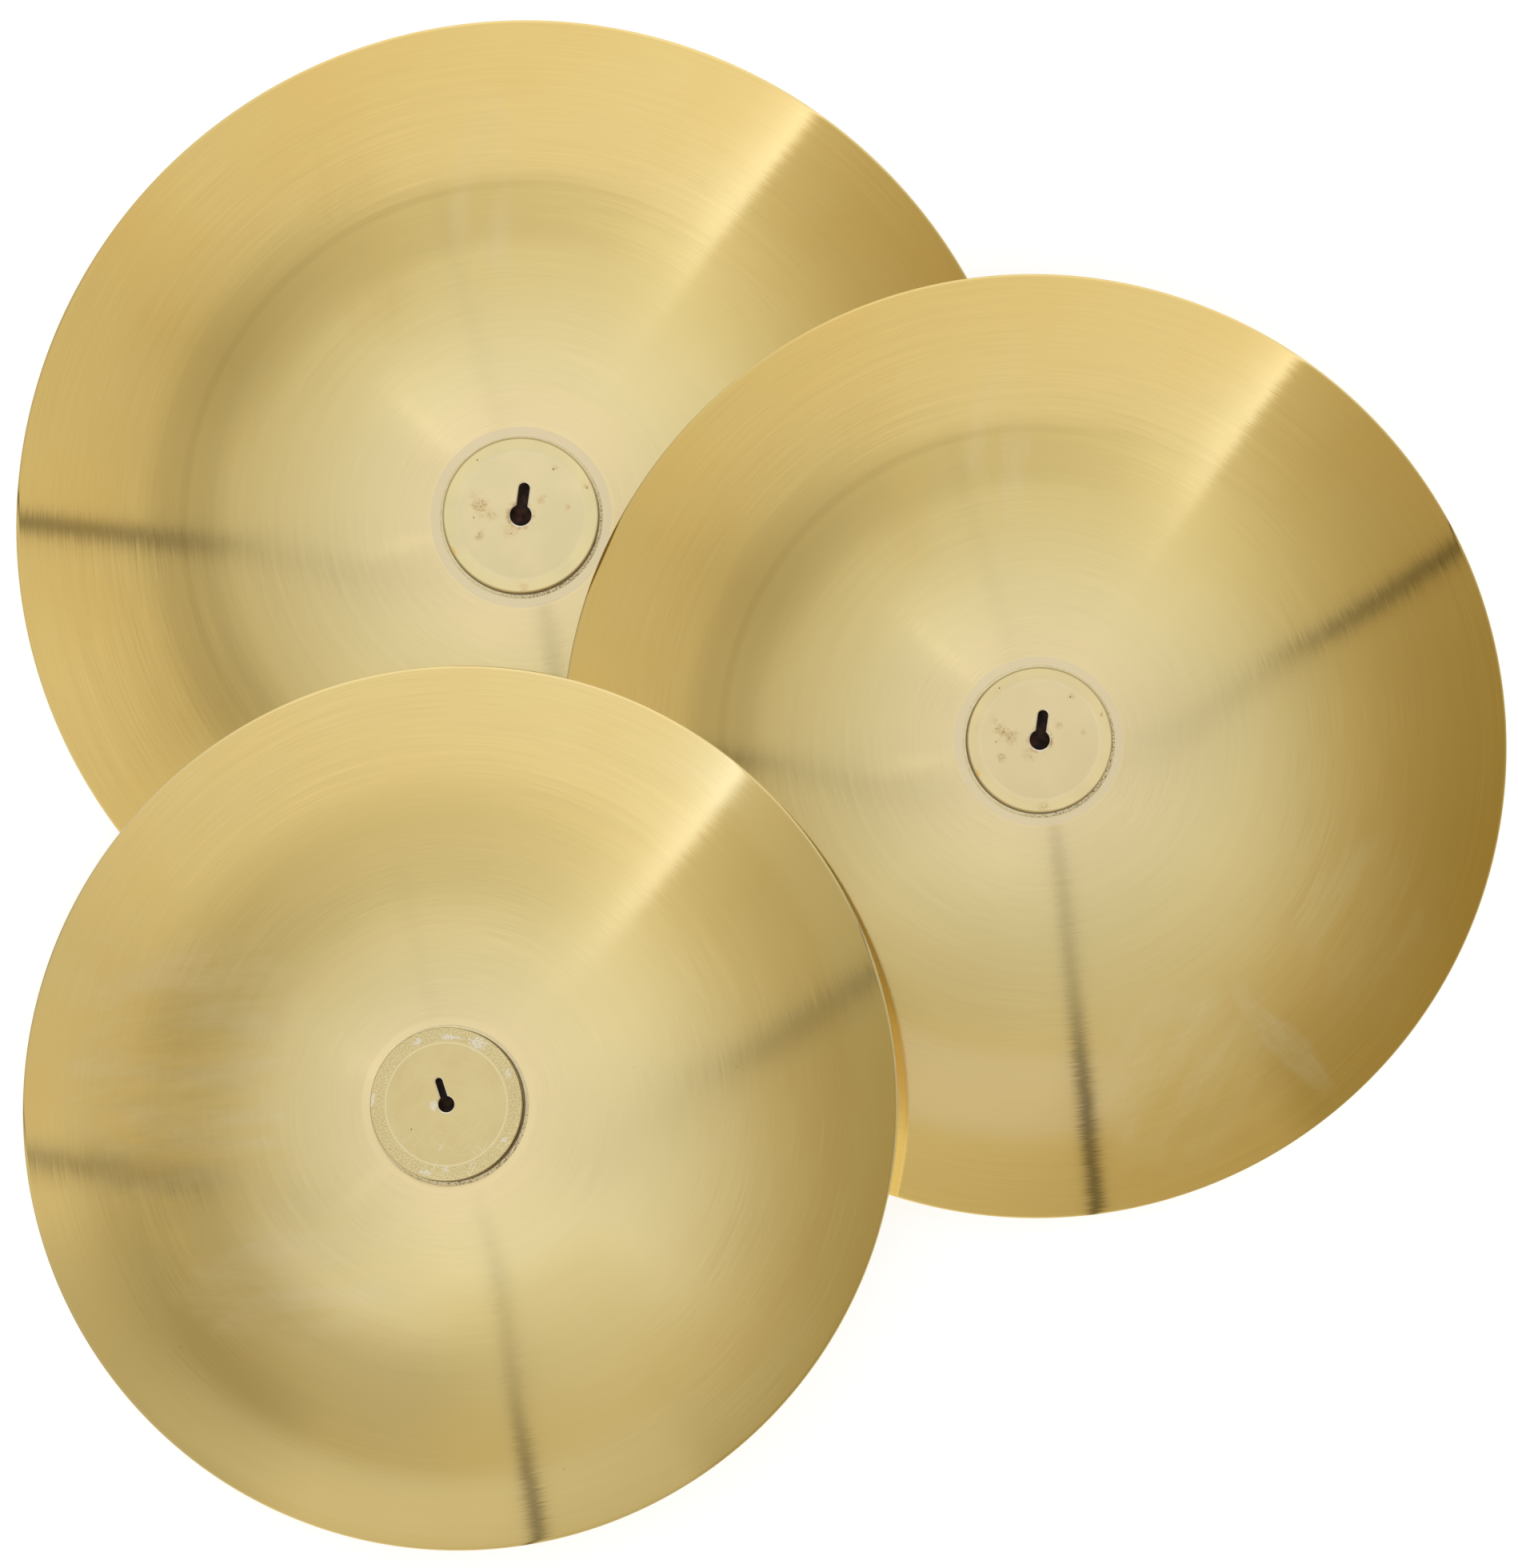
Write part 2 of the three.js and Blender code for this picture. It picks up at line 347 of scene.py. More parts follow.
def vector_math(tree, operation, first, second):
    made = node(tree, "ShaderNodeVectorMath", {0: first, 1: second}, operation=operation)
    return made.outputs["Vector"]


def scaled(tree, vector, factor):
    made = node(tree, "ShaderNodeVectorMath", {"Vector": vector, "Scale": factor}, operation="SCALE")
    return made.outputs["Vector"]


def turned(tree, vector, rotation):
    """vector turned by a fixed rotation, a quaternion."""
    axis, angle = rotation.to_axis_angle()
    made = node(tree, "ShaderNodeVectorRotate", {"Vector": vector, "Axis": axis, "Angle": angle})
    return made.outputs[0]


def level_frame(tree, dish):
    """(place, normal) of a point in the frame where the dish lies level about the origin."""
    places = node(tree, "ShaderNodeTexCoord").outputs["Object"]
    normal = node(tree, "ShaderNodeNewGeometry").outputs["Normal"]
    level = dish.lean.transposed().to_quaternion()
    place = vector_math(tree, "SUBTRACT", turned(tree, places, level), dish.origin)
    return place, turned(tree, normal, dish.hang @ level)


def round_streaks(tree, distance, angle, across, around, detail=3.0):
    """Noise drawn out round the axis: across is how fast it changes with distance, around with angle."""
    x = calc(tree, "MULTIPLY", calc(tree, "COSINE", angle), around)
    y = calc(tree, "MULTIPLY", calc(tree, "SINE", angle), around)
    z = calc(tree, "MULTIPLY", distance, across)
    return noise_of(tree, vector_of(tree, x, y, z), 1.0, detail)


def spread(tree, value, low, high, to_low, to_high):
    """value from low to high, mapped to to_low to to_high."""
    inputs = {"Value": value, "From Min": low, "From Max": high, "To Min": to_low, "To Max": to_high}
    return node(tree, "ShaderNodeMapRange", inputs).outputs[0]


def patch(tree, place, centre, size, turn=0.0, ragged=0.2, grain=900.0, soft=0.25):
    """1 inside an oval patch with a ragged edge, and 0 outside. Lengths are in metres, turn is in
    degrees anticlockwise, and soft is the share of the way in that the edge takes."""
    shifted = vector_math(tree, "SUBTRACT", place, (*centre, 0))
    local = turned(tree, shifted, Quaternion((0, 0, 1), -math.radians(turn)))
    unit = vector_math(tree, "MULTIPLY", local, (2 / size[0], 2 / size[1], 0))
    reach = node(tree, "ShaderNodeVectorMath", {0: unit}, operation="LENGTH").outputs["Value"]
    rough = calc(tree, "MULTIPLY", calc(tree, "SUBTRACT", noise_of(tree, place, grain, 3.0), 0.5), 2 * ragged)
    return smooth_step(tree, calc(tree, "ADD", reach, rough), 1.0, 1.0 - soft)


def specks(tree, place, cell, radius, share):
    """Scattered dots: one in some of the cells of a random grid. Lengths are in metres."""
    cells = node(tree, "ShaderNodeTexVoronoi", {"Vector": place, "Scale": 1 / cell})
    split = node(tree, "ShaderNodeSeparateColor", {"Color": cells.outputs["Color"]})
    chosen = calc(tree, "LESS_THAN", split.outputs[0], share)
    dot = smooth_step(tree, cells.outputs["Distance"], radius / cell, 0.5 * radius / cell)
    return calc(tree, "MULTIPLY", chosen, dot)


def times(tree, *values):
    product = values[0]
    for value in values[1:]:
        product = calc(tree, "MULTIPLY", product, value)
    return product


def band(tree, value, low, high, soft):
    """1 from low to high, falling to 0 over soft outside them."""
    rise = smooth_step(tree, value, low - soft, low)
    fall = smooth_step(tree, value, high + soft, high)
    return calc(tree, "MULTIPLY", rise, fall)


def new_material(name):
    material = bpy.data.materials.new(name)
    material.use_nodes = True
    tree = material.node_tree
    tree.nodes.clear()
    shader = node(tree, "ShaderNodeBsdfPrincipled")
    output = node(tree, "ShaderNodeOutputMaterial")
    tree.links.new(shader.outputs[0], output.inputs["Surface"])
    return material, tree, shader


# ---------------------------------------------------------------- materials

def shell_material(name, dish):
    """Lathe-brushed brass: pale at the crown and warmer towards the rim, with fine round grain."""
    material, tree, shader = new_material(name)
    place, normal = level_frame(tree, dish)
    distance, angle = polar(tree, place)
    fine, grain = shell_grain(tree, distance, angle)
    colour = shell_colour(tree, dish, place, distance, angle, grain)
    # Only the side that faces up is inside the hanger's pocket.
    up = axis_of(tree, normal, "Z")
    under = smooth_step(tree, up, 0.2, -0.2)
    colour = mix(tree, under, colour, UNDERSIDE_TINT)
    inside = times(tree, smooth_step(tree, distance, dish.pocket_radius + 0.2 * MM, dish.pocket_radius),
                   smooth_step(tree, up, 0.3, 0.6))
    colour = mix(tree, inside, colour, pocket_colour(tree, place))
    put(tree, shader.inputs["Base Color"], colour)
    put(tree, shader.inputs["Metallic"], calc(tree, "SUBTRACT", 1.0, inside))
    polish = spread(tree, grain, -0.2, 0.2, *dish.facts["polish"])
    dulled = calc(tree, "MULTIPLY_ADD", under, 0.2, calc(tree, "MULTIPLY", inside, 0.5))
    put(tree, shader.inputs["Roughness"], calc(tree, "ADD", polish, dulled))
    shader.inputs["Anisotropic"].default_value = 1.0
    shader.inputs["Anisotropic Rotation"].default_value = 0.25

    # The grain runs round the axis. It scatters light mostly outwards, and a little sideways.
    around = vector_math(tree, "CROSS_PRODUCT", (0, 0, 1), place)
    around = node(tree, "ShaderNodeVectorMath", {0: around}, operation="NORMALIZE").outputs[0]
    outward = vector_math(tree, "CROSS_PRODUCT", around, normal)
    put(tree, shader.inputs["Tangent"], around)
    ripple = round_streaks(tree, distance, angle, 3200.0, 12.0, 1.0)
    sideways = spread(tree, ripple, 0.2, 0.8, -0.003, 0.003)
    across = spread(tree, fine, 0.2, 0.8, -0.02, 0.02)
    tilted = vector_math(tree, "ADD", normal, scaled(tree, around, sideways))
    tilted = vector_math(tree, "ADD", tilted, scaled(tree, outward, across))
    # Each dish reflects the tent as if it lay level, which is how each one was lit.
    put(tree, shader.inputs["Normal"], tilted)
    return material


def shell_grain(tree, distance, angle):
    """(the finest lines, all the round grain centred on 0)."""
    fine = round_streaks(tree, distance, angle, 3600.0, 5.0)
    broad = round_streaks(tree, distance, angle, 420.0, 1.0)
    lined = spread(tree, round_streaks(tree, distance, angle, 30.0, 2.0, 1.0), 0.4, 0.65, 0.35, 1.0)
    grain = calc(tree, "ADD", calc(tree, "MULTIPLY", fine, 0.65), calc(tree, "MULTIPLY", broad, 0.35))
    return fine, calc(tree, "MULTIPLY", calc(tree, "SUBTRACT", grain, 0.5), lined)


def shell_colour(tree, dish, place, distance, angle, grain):
    """The shell's colour, with zones of painted reflection and shade, but without its pocket and its
    underside.
    """
    share = calc(tree, "DIVIDE", distance, dish.radius)
    tone = ramp(tree, share, SHELL_TONES + [(1.0, dish.facts["rim_tint"])])
    tone = scaled(tree, tone, dish.facts["lightness"])
    shade = calc(tree, "MULTIPLY_ADD", grain, GRAIN_CONTRAST, 1.0)
    colour = mix(tree, 1.0, tone, vector_of(tree, shade, shade, shade), "MULTIPLY")

    # Slow changes of tone: warmer clouds outside, zones of painted reflection and shade, wiped patches.
    clouds = spread(tree, noise_of(tree, place, 14.0, 3.0), 0.45, 0.75, 0.0, 0.45)
    warm = times(tree, clouds, smooth_step(tree, share, 0.6, 0.85))
    colour = mix(tree, warm, colour, CLOUD_TINT)
    # Painted reflections and shade, in part rings by side.
    for zone in dish.facts["painted_reflections"]:
        colour = painted_reflection_zone(tree, share, angle, colour, **zone)
    for wipe in dish.facts["wipes"]:
        colour = wiped(tree, place, colour, dish, **wipe)

    # A grey flat round the hanger, a thin turned line darkened with painted shade on one side, and pits.
    if dish.facts["grey_seat"]:
        on_seat = smooth_step(tree, distance, dish.seat_radius + 0.5 * MM, dish.seat_radius)
        colour = mix(tree, times(tree, on_seat, 0.8), colour, SEAT_TINT)
        # The turned line is painted shade, strongest towards one side.
        line = band(tree, share, 0.664, 0.670, 0.010)
        line = times(tree, line, spread(tree, facing(tree, angle, 150), 0.0, 0.8, 0.0, 0.20))
        colour = mix(tree, line, colour, LINE_SHADE_TINT)
    pits = specks(tree, place, 14 * MM, 0.35 * MM, 0.25)
    return mix(tree, times(tree, pits, 0.55), colour, PIT_TINT)


def painted_reflection_zone(tree, share, angle, colour, reach, soft, side, half_width, tint, strength):
    """Paints a tint of reflected light and shade into colour in part of a ring, fading out on both sides of
    it.
    """
    edge = math.cos(math.radians(half_width))
    full = math.cos(math.radians(0.35 * half_width))
    turn = smooth_step(tree, facing(tree, angle, side), edge, full)
    inside = times(tree, band(tree, share, *reach, soft), turn, strength)
    return mix(tree, inside, colour, tint)


def wiped(tree, place, colour, dish, centre, size, turn, tint, strength, along):
    """Dulls colour in a wiped patch, in streaks along one way. Lengths are shares of the radius."""
    scale = dish.radius
    middle = (centre[0] * scale, centre[1] * scale)
    inside = patch(tree, place, middle, (size[0] * scale, size[1] * scale), turn, 0.5, 45.0, soft=0.5)
    level = turned(tree, place, Quaternion((0, 0, 1), -math.radians(along)))
    drawn = vector_math(tree, "MULTIPLY", level, (0.18, 1, 1))
    streaks = spread(tree, noise_of(tree, drawn, 90.0, 5.0, 0.65), 0.36, 0.66, 0.0, strength)
    return mix(tree, times(tree, inside, streaks), colour, tint)


def pocket_colour(tree, place):
    """The dark inside of the hanger's pocket."""
    return ramp(tree, noise_of(tree, place, 260.0, 3.0), POCKET_TINTS)


def face_and_edges(tree, normal):
    """(bevel, wall): how far a surface is a slanted edge, and how far an upright wall."""
    up = calc(tree, "ABSOLUTE", axis_of(tree, normal, "Z"))
    return band(tree, up, 0.5, 0.9, 0.05), smooth_step(tree, up, 0.4, 0.2)


def plate_material(name, dish):
    """A hanger plate, with a rusty keyhole whose chamfered edge carries a painted highlight."""
    material, tree, shader = new_material(name)
    place, normal = level_frame(tree, dish)
    bevel, wall = face_and_edges(tree, normal)
    distance, angle = polar(tree, place)
    share = calc(tree, "DIVIDE", distance, dish.plate_radius)
    if dish.facts["turned_plate"]:
        colour, roughness, metal = turned_plate(tree, dish, place, distance, angle, share)
    else:
        colour, roughness, metal = cleaned_plate(tree, dish, place, share)
    head = dish.facts["keyhole"][0]
    rust = spread(tree, noise_of(tree, place, 500.0, 4.0), 0.4, 0.7, 0.0, 1.0)
    round_hole = times(tree, smooth_step(tree, distance, 1.55 * head, head), rust, dish.facts["rust"])
    colour = mix(tree, round_hole, colour, KEYHOLE_RUST)
    in_hole = smooth_step(tree, share, 0.6, 0.5)
    # The keyhole's chamfer carries a painted highlight.
    colour = mix(tree, bevel, colour, mix(tree, in_hole, EDGE_BEVEL, KEYHOLE_PAINTED_HIGHLIGHT))
    colour = mix(tree, wall, colour, mix(tree, in_hole, EDGE_WALL, KEYHOLE_WALL))
    put(tree, shader.inputs["Base Color"], colour)
    metal = calc(tree, "SUBTRACT", metal, times(tree, wall, in_hole), clamp=True)
    put(tree, shader.inputs["Metallic"], metal)
    put(tree, shader.inputs["Roughness"], roughness)
    add_bump(tree, shader, normal, noise_of(tree, place, 2500.0, 2.0), 0.15, 0.02 * MM)
    return material


def add_bump(tree, shader, normal, height, strength, depth):
    inputs = {"Strength": strength, "Distance": depth, "Height": height, "Normal": normal}
    put(tree, shader.inputs["Normal"], node(tree, "ShaderNodeBump", inputs).outputs[0])


def cleaned_plate(tree, dish, place, share):
    """A pale plate, yellower outside its witness ring, with brown specks where it has rusted."""
    size = dish.plate_radius
    cloud = noise_of(tree, place, 60.0, 4.0)
    inner = ramp(tree, cloud, CLEANED_INNER)
    outer = ramp(tree, cloud, CLEANED_OUTER)
    colour = mix(tree, smooth_step(tree, share, 0.74, 0.92), inner, outer)
    colour = scaled(tree, colour, dish.facts["lightness"])
    ring = band(tree, share, 0.815, 0.835, 0.02)
    colour = mix(tree, times(tree, ring, 0.4), colour, CLEANED_RING)
    # A thin dark line round the plate's edge.
    edge_line = band(tree, share, 0.985, 1.0, 0.012)
    colour = mix(tree, times(tree, edge_line, 0.6), colour, PLATE_EDGE_LINE_TINT)
    freckles = smooth_step(tree, noise_of(tree, place, 1300.0, 4.0, 0.7), 0.46, 0.66)
    mottle = calc(tree, "MULTIPLY_ADD", freckles, 0.9, 0.22, clamp=True)
    for x, y, reach, strength in PLATE_STAINS:
        across = 2 * reach * size
        stain = patch(tree, place, (x * size, y * size), (across, across), 0, 0.9, 420.0, soft=0.9)
        colour = mix(tree, times(tree, stain, mottle, strength), colour, STAIN_TINT)
    for x, y, reach, tint in PLATE_DOTS:
        across = 2 * reach * size
        dot = patch(tree, place, (x * size, y * size), (across, across), 0, 0.25, 1500.0)
        colour = mix(tree, times(tree, dot, 0.8), colour, tint)
    middle, oval = (-0.855 * size, -0.46 * size), (0.16 * size, 0.05 * size)
    amber = patch(tree, place, middle, oval, 118, 0.5, 900.0, soft=0.6)
    colour = mix(tree, times(tree, amber, 0.6), colour, AMBER_TINT)
    return colour, spread(tree, cloud, 0.3, 0.7, 0.30, 0.42), 1.0


def turned_plate(tree, dish, place, distance, angle, share):
    """A plate with turning marks, and a rough outer ring with whitish blotches of flux."""
    size = dish.plate_radius
    marks = round_streaks(tree, distance, angle, 3200.0, 3.0)
    cloud = noise_of(tree, place, 70.0, 4.0)
    tone = calc(tree, "ADD", calc(tree, "MULTIPLY", marks, 0.35), calc(tree, "MULTIPLY", cloud, 0.65))
    inner = ramp(tree, tone, TURNED_INNER)
    mottle = noise_of(tree, place, 1600.0, 4.0, 0.65)
    outer = ramp(tree, mottle, TURNED_OUTER)
    colour = mix(tree, smooth_step(tree, share, 0.80, 0.84), inner, outer)
    ring = band(tree, share, 0.795, 0.805, 0.01)
    colour = mix(tree, times(tree, ring, 0.8), colour, TURNED_RING)
    metal = 1.0
    for degrees, reach, length, width in FLUX_BLOTCHES:
        around = math.radians(degrees)
        centre = (reach * size * math.cos(around), reach * size * math.sin(around))
        oval = (1.3 * length * size, 1.3 * width * size)
        blotch = patch(tree, place, centre, oval, degrees - 90, 1.6, 1100.0, soft=0.5)
        blotch = times(tree, blotch, spread(tree, mottle, 0.4, 0.6, 0.25, 0.9))
        colour = mix(tree, blotch, colour, FLUX_TINT)
        metal = calc(tree, "SUBTRACT", metal, blotch, clamp=True)
    low_half = smooth_step(tree, axis_of(tree, place, "Y"), -0.2 * size, -0.6 * size)
    scratches = times(tree, scratch_lines(tree, place), low_half, 0.8)
    colour = mix(tree, scratches, colour, SCRATCH_TINT)
    dot = patch(tree, place, (-0.46 * size, -0.32 * size), (0.02 * size, 0.02 * size), 0, 0.1)
    colour = mix(tree, dot, colour, BLACK_DOT)
    return colour, spread(tree, tone, 0.3, 0.7, 0.30, 0.40), metal


def scratch_lines(tree, place):
    """Fine straight scratches in two directions."""
    found = 0.0
    for degrees in (35, -60):
        level = turned(tree, place, Quaternion((0, 0, 1), math.radians(degrees)))
        drawn = vector_math(tree, "MULTIPLY", level, (0.06, 1, 0))
        ridge = noise_of(tree, drawn, 1300.0, 1.0)
        found = calc(tree, "MAXIMUM", found, smooth_step(tree, ridge, 0.64, 0.72))
    return found


def spacer_material(dish):
    """Dull brass outside, and dark inside where the keyhole shows it."""
    material, tree, shader = new_material(f"{dish.name}_spacer_brass")
    place, _ = level_frame(tree, dish)
    distance, _ = polar(tree, place)
    blotches = noise_of(tree, place, 300.0, 4.0)
    inside = smooth_step(tree, distance, dish.pocket_radius + 0.6 * MM, dish.pocket_radius + 0.3 * MM)
    colour = mix(tree, inside, ramp(tree, blotches, SPACER_TINTS), pocket_colour(tree, place))
    put(tree, shader.inputs["Base Color"], colour)
    put(tree, shader.inputs["Metallic"], calc(tree, "SUBTRACT", 1.0, inside))
    put(tree, shader.inputs["Roughness"], spread(tree, blotches, 0.3, 0.7, 0.35, 0.55))
    return material


def braze_material(dish):
    """Cleaned filler metal: a painted shadow under the plate's edge, as pale as the dish outside it, with
    burnt specks.
    """
    material, tree, shader = new_material(f"{dish.name}_braze_filler")
    place, normal = level_frame(tree, dish)
    distance, angle = polar(tree, place)
    blotches = noise_of(tree, place, 500.0, 4.0)
    # A painted shadow on the bead, under and just outside the plate's edge.
    plate_shadow = smooth_step(tree, distance, dish.plate_radius + 0.30 * MM, dish.plate_radius)
    colour = mix(tree, times(tree, plate_shadow, 0.85), ramp(tree, blotches, BRAZE_TINTS), PLATE_SHADOW_TINT)
    burnt_side = smooth_step(tree, facing(tree, angle, dish.facts["burnt_side"]), 0.2, 0.9)
    burnt = times(tree, burnt_side, smooth_step(tree, noise_of(tree, place, 1500.0, 3.0), 0.5, 0.6))
    colour = mix(tree, times(tree, burnt, 0.8), colour, BURNT_TINT)
    put(tree, shader.inputs["Base Color"], colour)
    put(tree, shader.inputs["Metallic"], 0.4)
    put(tree, shader.inputs["Roughness"], spread(tree, blotches, 0.3, 0.7, 0.4, 0.6))
    add_bump(tree, shader, normal, blotches, 0.3, 0.1 * MM)
    return material


# ---------------------------------------------------------------- mesh helpers

def lathe_mesh(name, profile, sides, closed):
    """Revolves a profile of (radius, height) round Z. A closed profile is a loop; an open one
    starts and ends on the axis."""
    bm = bmesh.new()
    rings = []
    for radius, height in profile:
        if radius < 1e-9:
            rings.append([bm.verts.new((0.0, 0.0, height))])
            continue
        turns = (2 * math.pi * side / sides for side in range(sides))
        rings.append([bm.verts.new((radius * math.cos(t), radius * math.sin(t), height)) for t in turns])
    pairs = list(zip(rings, rings[1:]))
    if closed:
        pairs.append((rings[-1], rings[0]))
    for lower, upper in pairs:
        for side in range(sides):
            after = (side + 1) % sides
            corners = [lower[side % len(lower)], lower[after % len(lower)],
                       upper[after % len(upper)], upper[side % len(upper)]]
            bm.faces.new(list(dict.fromkeys(corners)))
    bmesh.ops.recalc_face_normals(bm, faces=bm.faces)
    mesh = bpy.data.meshes.new(name)
    bm.to_mesh(mesh)
    bm.free()
    return mesh


def smooth(mesh, degrees=35):
    mesh.shade_smooth()
    mesh.set_sharp_from_angle(angle=math.radians(degrees))


def arc(centre, radius, start, end, steps):
    """Points on an arc in the profile plane, with angles in degrees."""
    points = []
    for step in range(steps + 1):
        angle = math.radians(start + (end - start) * step / steps)
        points.append((centre[0] + radius * math.cos(angle), centre[1] + radius * math.sin(angle)))
    return points


# ---------------------------------------------------------------- the dishes

class Dish:
    """Where a dish lies and how big it is, measured on its CAD nodes."""

    def __init__(self, name, record):
        self.name = name
        self.body = f"{name}_dish"
        self.facts = DISHES[name]
        mounts = {mount["name"]: mount for mount in record["mounts"]}
        axis = Vector(mounts[f"{name}_hanger_face"]["axis"])
        self.lean = Vector((0, 0, 1)).rotation_difference(axis).to_matrix()
        shell = self.own_points("dish_shell")
        low = Vector(min(p[i] for p in shell) for i in range(3))
        high = Vector(max(p[i] for p in shell) for i in range(3))
        middle = (low + high) / 2
        self.origin = Vector((middle.x, middle.y, low.z))
        self.matrix = self.lean.to_4x4() @ Matrix.Translation(self.origin)
        self.radius = (high.x - low.x) / 2
        self.seat_height = high.z - low.z
        on_seat = (p - self.origin for p in shell if high.z - p.z < 0.01 * MM)
        self.seat_radius = max(p.to_2d().length for p in on_seat)
        plate = [p - self.origin for p in self.own_points("hanger_plate")]
        self.plate_radius = max(p.to_2d().length for p in plate)
        self.plate_top = max(p.z for p in plate)
        spacer = [p - self.origin for p in self.own_points("spacer_ring")]
        self.spacer_foot = min(p.z for p in spacer)
        self.spacer_top = max(p.z for p in spacer)
        lean, side = (math.radians(angle) for angle in self.facts["hang"])
        self.hang = Quaternion((-math.sin(side), math.cos(side), 0), -lean)
        self.pocket_radius = self.plate_radius - SPACER_INSET - SPACER_WALL
        self.place_dome()

    def own_points(self, part):
        """The corners of one of its CAD nodes, turned so that the dish is level."""
        level = self.lean.transposed()
        return [level @ v.co for v in frame["nodes"][f"{self.name}_{part}"].data.vertices]

    def place_dome(self):
        """The sphere through the rim's outer edge and the seat's edge."""
        wide, narrow = self.radius, self.seat_radius
        low, high = RIM_HEIGHT, self.seat_height
        self.dome_centre = (wide**2 - narrow**2 + low**2 - high**2) / (2 * (low - high))
        self.dome_radius = math.hypot(wide, low - self.dome_centre)

    def dome_height(self, distance, inset=0.0):
        return self.dome_centre + math.sqrt((self.dome_radius - inset) ** 2 - distance**2)

    def add(self, part, mesh, material, slot):
        """Puts a mesh in the scene in place of its CAD node."""
        mesh.transform(self.matrix)
        piece = bpy.data.objects.new(f"{self.name}_{part}_fine", mesh)
        bpy.context.scene.collection.objects.link(piece)
        piece.data.materials.append(material)
        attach(piece, self.body)
        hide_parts(f"{self.name}_{part}")
        return piece


def shell_profile(dish):
    crown = dish.seat_height
    outer_rim, inner_rim = dish.radius, dish.radius - RIM_LAND
    points = [(0.0, crown), (dish.seat_radius * 0.8, crown)]
    for step in range(OUTER_STEPS + 1):
        distance = dish.seat_radius + (outer_rim - RIM_ROUND - dish.seat_radius) * step / OUTER_STEPS
        points.append((distance, dish.dome_height(distance)))
    points += arc((outer_rim - RIM_ROUND, RIM_HEIGHT - RIM_ROUND), RIM_ROUND, 60, 0, 3)
    points += arc((outer_rim - RIM_ROUND, RIM_ROUND), RIM_ROUND, 0, -90, 4)
    points += [(inner_rim, 0.0)]
    for step in range(INNER_STEPS + 1):
        distance = inner_rim + (dish.seat_radius - inner_rim) * step / INNER_STEPS
        points.append((distance, dish.dome_height(distance, SHEET)))
    points += [(0.0, crown - SHEET)]
    return points


def add_shell(dish):
    mesh = lathe_mesh(f"{dish.name}_shell", shell_profile(dish), SHELL_SIDES, closed=False)
    smooth(mesh)
    dish.add("dish_shell", mesh, shell_material(f"{dish.name}_shell_brass", dish), "brushed_shell")


def keyhole_outline(head, slot, reach, turn, steps=24):
    """The keyhole's outline, anticlockwise, as (x, y)."""
    mouth = math.asin(slot / head)
    points = []
    for step in range(steps * 2 + 1):
        angle = math.pi / 2 + mouth + (2 * math.pi - 2 * mouth) * step / (steps * 2)
        points.append(Vector((head * math.cos(angle), head * math.sin(angle))))
    for step in range(steps + 1):
        angle = math.pi * step / steps
        points.append(Vector((slot * math.cos(angle), reach + slot * math.sin(angle))))
    spin = Matrix.Rotation(math.radians(turn), 2)
    return [spin @ point for point in points]


def keyhole_cutter(dish):
    """A prism with the keyhole's outline, which flares at the top to leave a chamfer."""
    head, slot, reach = dish.facts["keyhole"]
    depth, top = KEYHOLE_CHAMFER, dish.plate_top
    levels = [(top - 3 * MM, 0.0), (top - depth, 0.0), (top + depth, 2 * KEYHOLE_FLARE * depth)]
    bm = bmesh.new()
    rings = []
    for height, flare in levels:
        outline = keyhole_outline(head + flare, slot + flare, reach, dish.facts["turn"])
        rings.append([bm.verts.new((p.x, p.y, height)) for p in outline])
    count = len(rings[0])
    for lower, upper in zip(rings, rings[1:]):
        for i in range(count):
            after = (i + 1) % count
            bm.faces.new([lower[i], lower[after], upper[after], upper[i]])
    bm.faces.new(rings[0])
    bm.faces.new(rings[-1])
    bmesh.ops.recalc_face_normals(bm, faces=bm.faces)
    mesh = bpy.data.meshes.new("keyhole_cutter")
    bm.to_mesh(mesh)
    bm.free()
    return mesh


def cut(mesh, cutter_mesh):
    """mesh less cutter_mesh, as a new mesh."""
    scene = bpy.context.scene
    body = bpy.data.objects.new("cut_body", mesh)
    cutter = bpy.data.objects.new("cut_tool", cutter_mesh)
    for piece in (body, cutter):
        scene.collection.objects.link(piece)
    modifier = body.modifiers.new("cut", "BOOLEAN")
    modifier.operation = "DIFFERENCE"
    modifier.object = cutter
    modifier.solver = "EXACT"
    depsgraph = bpy.context.evaluated_depsgraph_get()
    made = bpy.data.meshes.new_from_object(body.evaluated_get(depsgraph))
    for piece in (body, cutter):
        bpy.data.objects.remove(piece)
    return made


def add_plate(dish):
    edge, top = dish.plate_radius, dish.plate_top
    witness = WITNESS_SHARE * edge
    profile = [
        (0.0, top),
        (witness - 0.4 * MM, top),
        (witness, top - 0.04 * MM),
        (witness + 0.3 * MM, top - 0.02 * MM),
        (edge - PLATE_CHAMFER, top - 0.02 * MM),
        (edge, top - PLATE_CHAMFER),
        (edge, top - PLATE_THICKNESS + PLATE_CHAMFER),
        (edge - PLATE_CHAMFER, top - PLATE_THICKNESS),
        (0.0, top - PLATE_THICKNESS),
    ]
    disc = lathe_mesh(f"{dish.name}_plate", profile, PLATE_SIDES, closed=False)
    mesh = cut(disc, keyhole_cutter(dish))
    smooth(mesh, 20)
    dish.add("hanger_plate", mesh, plate_material(f"{dish.name}_plate_brass", dish), "hanger")


